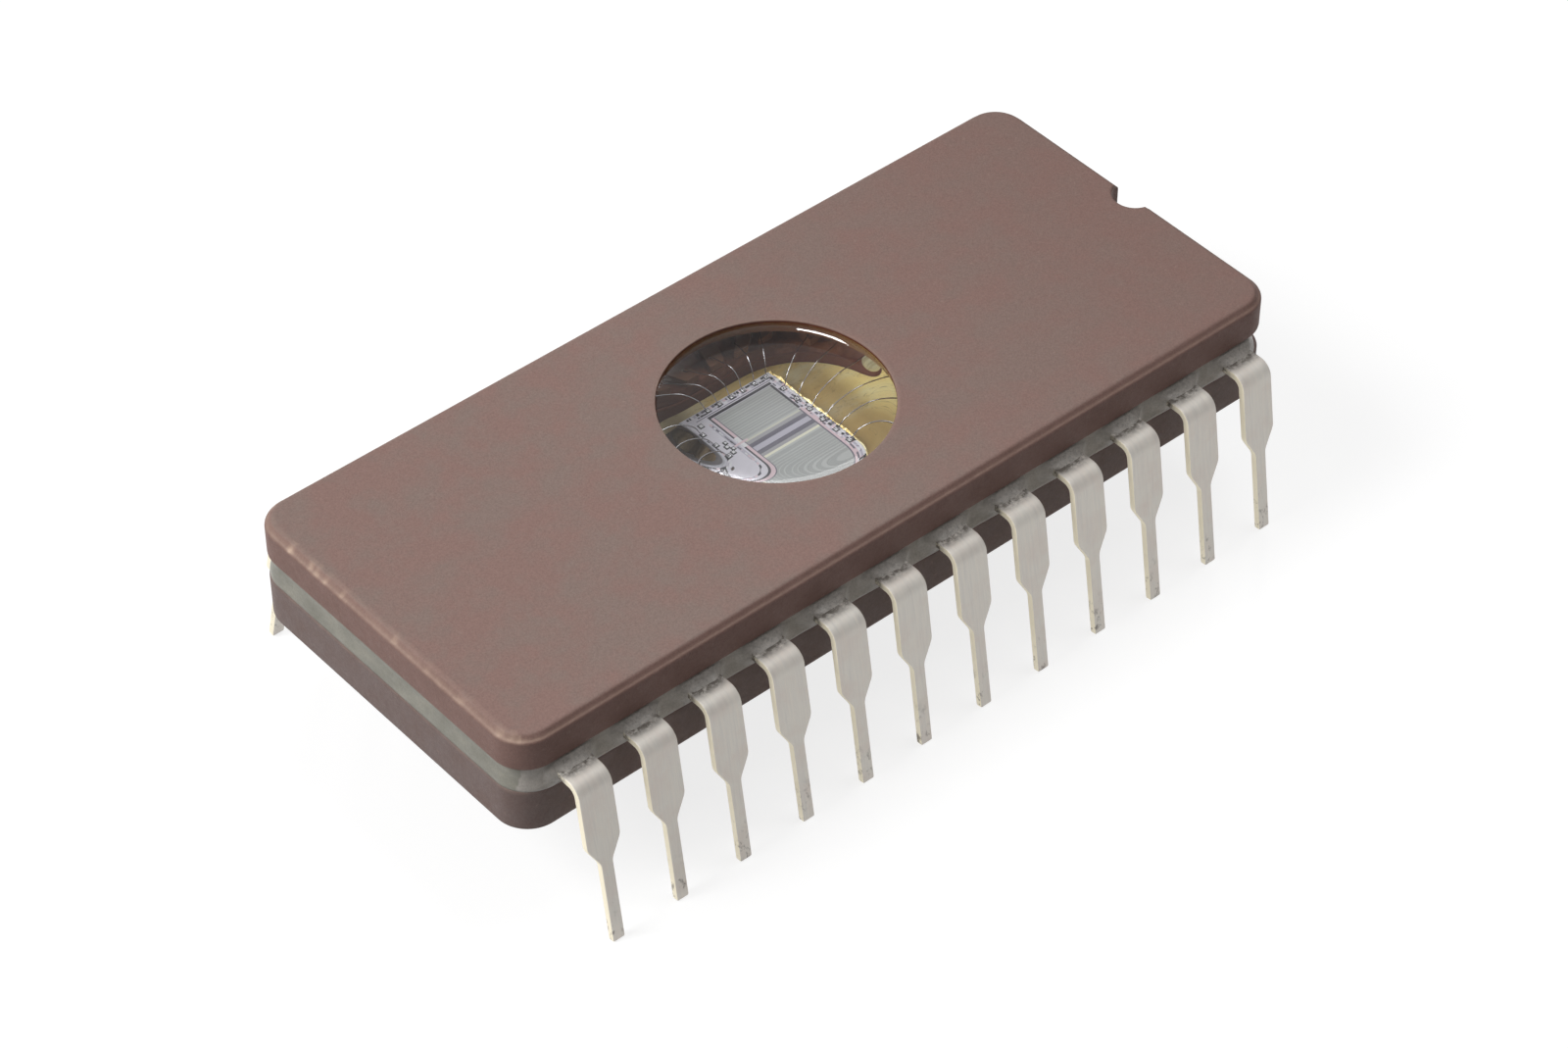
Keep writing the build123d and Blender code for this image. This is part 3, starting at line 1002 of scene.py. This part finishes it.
def gold_film():
    """Fired gold paste with fine dark contours, with painted light towards the notch and painted shade beside
    the die and towards the other end.
    """
    look = Shader("gold_film")
    swirl = look.noise(0.5, 5, 0.6, stretch=(1, 2, 1))
    body = look.ramp(swirl, (0.3, (226, 192, 110)), (0.5, (250, 224, 146)), (0.68, (255, 250, 208)))
    # Painted shade: darker towards the end away from the notch
    body = look.mix(look.times(look.along("X", 2.6, 0.4), 0.5), body, (172, 146, 98))
    # Painted shade: darker beside the die
    beside = look.times(look.along("X", 4.2, 3.2), look.along("Y", 3.0, 2.0))
    body = look.mix(look.times(beside, 0.65), body, (166, 138, 92))
    # Painted light: paler and less metallic towards the notch end
    lit = look.along("X", 3.5, 4.3)
    body = look.mix(look.times(lit, 0.7), body, (255, 236, 158))
    look.set("Metallic", look.times(look.math("SUBTRACT", 1.0, lit), 0.25))
    # Painted shade: dark bronze at the end away from the notch
    body = look.mix(look.along("X", -0.8, -1.8), body, (96, 82, 72))
    contours = look.noise(0.7, 4, 0.6, stretch=(1, 3, 1), seed=4)
    contours = look.ramp(contours, (0.494, 0.0), (0.5, 0.6), (0.506, 0.0))
    look.paint(look.mix(contours, body, (84, 60, 26)))
    look.roughness(swirl, 0.55, 0.38)
    look.bump(look.math("ADD", swirl, look.times(look.noise(6), 0.1)), 0.03)
    return look


def gold_bead():
    """Bright gold bead with dark pits, and painted shade at the end away from the notch."""
    look = Shader("gold_bead", Metallic=0.4)
    lumps = look.noise(5, 4, 0.7)
    body = look.ramp(lumps, (0.36, (74, 54, 26)), (0.42, (232, 200, 112)), (0.58, (255, 246, 200)))
    # Painted shade: duller at the end away from the notch
    look.paint(look.mix(look.along("X", 1.8, 1.4), body, (134, 114, 84)))
    look.roughness(lumps, 0.5, 0.3)
    look.bump(lumps, 0.025)
    return look


def circuit_layers():
    """Etched layers of the die: each block's own tone, slightly clouded by thin films."""
    look = Shader("die_circuit", Metallic=0.2, Specular_IOR_Level=0.5)
    tone = look.add("Attribute", attribute_name="tone").outputs["Color"]
    lines = look.ramp(look.noise(1.0, 2, 0.6, stretch=(0.15, 9, 1)), (0.3, 0.0), (0.7, 0.12))
    body = look.mix(lines, tone, (202, 205, 204))
    cloud = look.ramp(look.noise(0.45, 3, 0.5, seed=8), (0.35, 0.0), (0.7, 0.15))
    look.paint(look.mix(cloud, body, (182, 184, 188)))
    look.roughness(look.noise(4, 2, 0.5), 0.16, 0.26)
    return look


def bright_wire():
    """Bright drawn wire."""
    look = Shader("bond_wire", Metallic=1.0)
    look.paint(look.ramp(look.noise(8, 2, 0.5), (0.3, (190, 190, 194)), (0.7, (218, 218, 222))))
    look.roughness(look.noise(12, 2, 0.5), 0.16, 0.26)
    return look


# Build the pieces

lid_ceramic = ceramic("lid_ceramic", (146, 126, 118), (151, 122, 114), (141, 111, 103), (206, 178, 158))
base_ceramic = ceramic("base_ceramic", (124, 108, 104), (128, 106, 100), (128, 112, 108), (176, 152, 136))
lead_metal, wire_metal = tinned_metal(), bright_wire()
sawn_silicon = clouded(
    "sawn_silicon", (1.5, 3, 0.6, (1, 1, 6)), (214, 216, 228), (238, 240, 248), 0.3, 0.42, Metallic=0.1
)
drop_glass = clouded(
    "drop_glass", (2.5, 3, 0.6), (132, 128, 108), (186, 182, 150), 0.2, 0.35,
    Specular_IOR_Level=0.5, Coat_Weight=0.6, Coat_Roughness=0.1,
)

add_piece(make_lid(), "lid", lid_ceramic, ["ceramic_lid"])
add_piece(make_base(), "base", base_ceramic, ["ceramic_base"])
add_piece(make_seal(), "seal", frit_glass(), ["seal_glass"], 50)
add_piece(make_lens(), "lens", window_glass(), ["window_lens"])
add_piece(make_die(), "die", sawn_silicon, ["silicon_die"])
add_piece(make_circuit(), "die_layers", circuit_layers())
add_piece(make_die_bond(), "die_bond", gold_bead(), (), 60)
add_piece(make_glass_drop(), "glass_drop", drop_glass)
for number in range(leads_per_row):
    for near_row in (False, True):
        label = f"{number + 1 + leads_per_row * near_row:02d}"
        add_piece(make_lead(number, near_row), f"pin_{label}", lead_metal, [f"lead_{label}"])
for node in wire_nodes:
    add_piece(make_wire(node), node.replace("bond_", ""), wire_metal, [node], 60)
gold_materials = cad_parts["gold_pad"].data.materials
gold_materials.clear()
gold_materials.append(gold_film().material)


# Floor, light and camera

def make_floor():
    """Wide pale floor that keeps the part's shadow and lies white in the view."""
    reach = 4.0
    mesh = bpy.data.meshes.new("floor")
    mesh.from_pydata([(reach * x, reach * y, 0) for x, y, _ in corner_turns], [], [(0, 1, 2, 3)])
    look = Shader("pale_floor", Roughness=0.8, Specular_IOR_Level=0.1)
    look.paint(look.ramp(look.noise(0.02, 2, 0.5), (0.3, 0.28), (0.7, 0.31)))
    paper = look.add("BsdfDiffuse", {"Color": colour(0.3)})
    glow = look.add("Emission", {"Color": colour(1.0), "Strength": 0.8})
    white = look.add("AddShader", {0: paper.outputs[0], 1: glow.outputs[0]})
    light = look.add("LightPath").outputs
    seen = look.math("MAXIMUM", light["Is Camera Ray"], light["Is Glossy Ray"])
    upper = look.blend(seen, look.surface, white)
    under = look.add("NewGeometry").outputs["Backfacing"]
    look.show(look.blend(under, upper, look.add("BsdfTransparent")))
    mesh.materials.append(look.material)
    floor = put("floor", mesh)


def make_world():
    """Light all round: dim on matt surfaces, brighter in mirrors, and white behind the part."""
    world = bpy.data.worlds.new("studio")
    bpy.context.scene.world = world
    world.use_nodes = True
    nodes, links = world.node_tree.nodes, world.node_tree.links
    path = nodes.new("ShaderNodeLightPath")
    sky = nodes["Background"]
    sky.inputs["Color"].default_value = colour(1.0)
    strength = nodes.new("ShaderNodeValue").outputs[0]
    strength.default_value = 0.16
    for ray, level in (("Is Glossy Ray", 0.4), ("Is Transmission Ray", 0.6), ("Is Camera Ray", 1.0)):
        step = nodes.new("ShaderNodeMix")
        links.new(path.outputs[ray], step.inputs[0])
        links.new(strength, step.inputs[2])
        step.inputs[3].default_value = level
        strength = step.outputs[0]
    links.new(strength, sky.inputs["Strength"])


def look_from(thing, place, heading):
    """Stands a lamp or camera at a place and turns it along a heading."""
    thing.location = place
    thing.rotation_euler = heading.to_track_quat("-Z", "Y").to_euler()


def add_lamp(name, place, size, power):
    """A soft square lamp aimed at the part."""
    lamp = bpy.data.lights.new(name, "AREA")
    lamp.shape = "SQUARE"
    lamp.size = size
    lamp.energy = power
    look_from(put(name, lamp), Vector(place), Vector((0, 0, 0.005)) - Vector(place))


def add_camera():
    """The photograph's viewpoint."""
    azimuth, elevation = radians(-40.78), radians(43.665)
    aim = Vector((-1.195, -1.764, 4.5)) * MM
    distance = 145.31 * MM
    level = cos(elevation)
    back = Vector((sin(azimuth) * level, -cos(azimuth) * level, sin(elevation)))
    view = bpy.data.cameras.new("view")
    view.sensor_width = 36.0
    view.lens = 103.62
    view.clip_start = 0.01
    holder = put("view", view)
    look_from(holder, aim + back * distance, -back)
    bpy.context.scene.camera = holder


make_floor()
make_world()
add_lamp("key", (-0.33, 0.15, 0.33), 0.26, 1.85)
add_lamp("top", (0.145, 0.0, 0.43), 0.2, 0.48)
add_lamp("rim", (0.39, 0.376, 0.258), 0.06, 0.22)
add_camera()
bpy.context.scene.view_settings.view_transform = "Standard"
